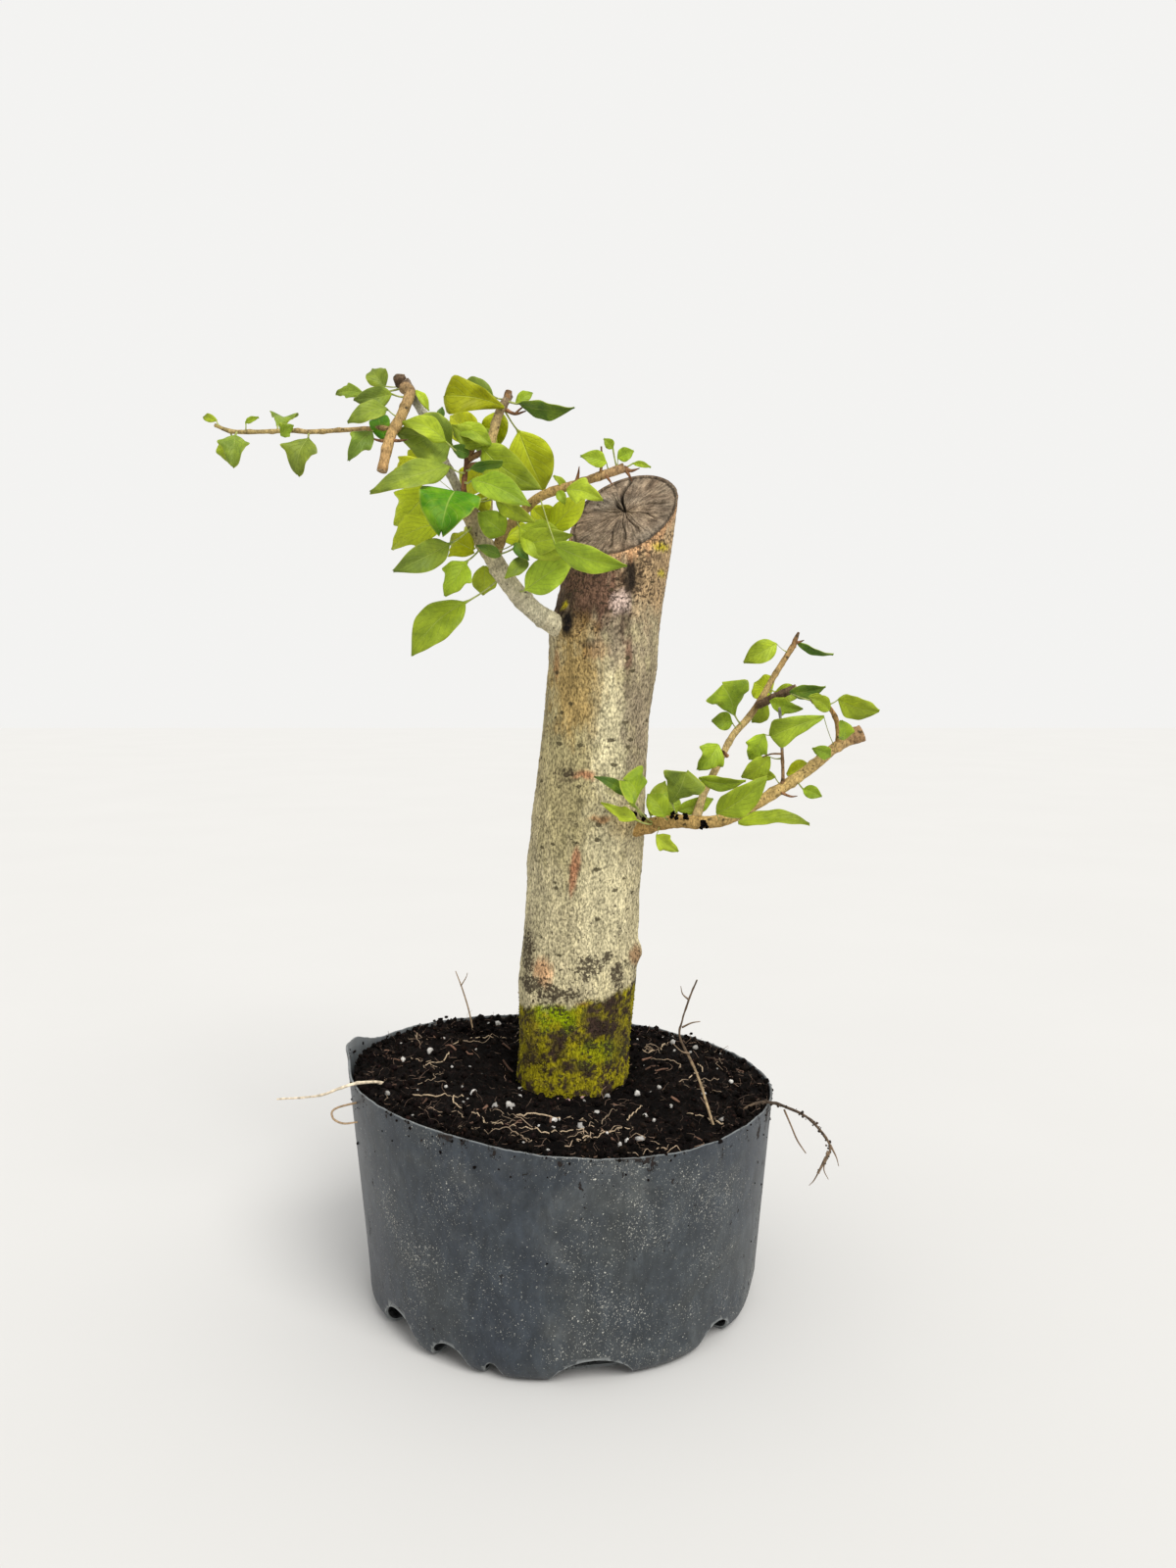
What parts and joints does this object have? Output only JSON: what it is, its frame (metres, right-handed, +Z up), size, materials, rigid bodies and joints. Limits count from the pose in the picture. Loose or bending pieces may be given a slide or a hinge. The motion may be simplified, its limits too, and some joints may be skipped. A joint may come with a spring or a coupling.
{
  "type": "bonsai tree in a pot",
  "caption": "Sawn bonsai stump with thin leafy branches growing from its bare trunk, planted in dark soil in a short round plastic pot with a rough cut rim.",
  "frame": {"origin": "centre of the pot's flat underside, on the surface it stands on", "axes": "+Z up along the pot's axis, -Y towards the front, +X to the viewer's right"},
  "size_m": [0.3022, 0.2089, 0.4474],
  "materials": {
    "pot_plastic": "matt dark slate grey, dusty",
    "peat": "loose, near black brown",
    "trunk_bark": "rough beige grey bark",
    "pale_bark": "smooth pale bark",
    "warm_bark": "orange brown bark",
    "twig_bark": "golden brown twig skin",
    "root_skin": "dry pale root",
    "leaf_green": "thin satin yellow green leaf"
  },
  "bodies": {
    "root": {"pot": "pot_plastic", "soil": "peat", "trunk": "trunk_bark", "left_branch": "pale_bark", "left_twig": "twig_bark", "bent_branch": "pale_bark", "cut_stub": "twig_bark", "long_twig": "twig_bark", "upper_shoot": "twig_bark", "side_shoot": "twig_bark", "right_branch": "warm_bark", "right_shoot": "twig_bark", "end_twig": "twig_bark", "thin_twig": "twig_bark", "root_left": "root_skin", "root_right": "root_skin", "root_standing": "root_skin", "leaf_left_far_round": "leaf_green", "leaf_left_far_lobed": "leaf_green", "leaf_left_upright": "leaf_green", "leaf_left_hanging": "leaf_green", "leaf_left_inner": "leaf_green", "leaf_left_stub_round": "leaf_green", "leaf_left_stub_mid": "leaf_green", "leaf_left_stub_low": "leaf_green", "leaf_left_big_olive": "leaf_green", "leaf_left_long_folded": "leaf_green", "leaf_left_under_lime": "leaf_green", "leaf_left_emerald": "leaf_green", "leaf_left_low_lime": "leaf_green", "leaf_left_low_dark": "leaf_green", "leaf_left_yellow": "leaf_green", "leaf_left_hang_lobed": "leaf_green", "leaf_left_hang_lime": "leaf_green", "leaf_left_lowest": "leaf_green", "leaf_left_sail": "leaf_green", "leaf_left_right_tip": "leaf_green", "leaf_left_big_lime": "leaf_green", "leaf_left_behind_shoot": "leaf_green", "leaf_left_broad": "leaf_green", "leaf_left_wing_olive": "leaf_green", "leaf_left_near_lime": "leaf_green", "leaf_left_pointed": "leaf_green", "leaf_left_midrib": "leaf_green", "leaf_left_behind_lime": "leaf_green", "leaf_left_pale": "leaf_green", "leaf_right_top": "leaf_green", "leaf_right_delta": "leaf_green", "leaf_right_lobed": "leaf_green", "leaf_right_bright": "leaf_green", "leaf_right_lime_low": "leaf_green", "leaf_right_east": "leaf_green", "leaf_right_big_east": "leaf_green", "leaf_right_broad": "leaf_green", "leaf_right_folded": "leaf_green", "leaf_right_front": "leaf_green", "leaf_right_under": "leaf_green", "leaf_right_triangle": "leaf_green", "leaf_right_over_trunk": "leaf_green"}
  },
  "joints": []
}
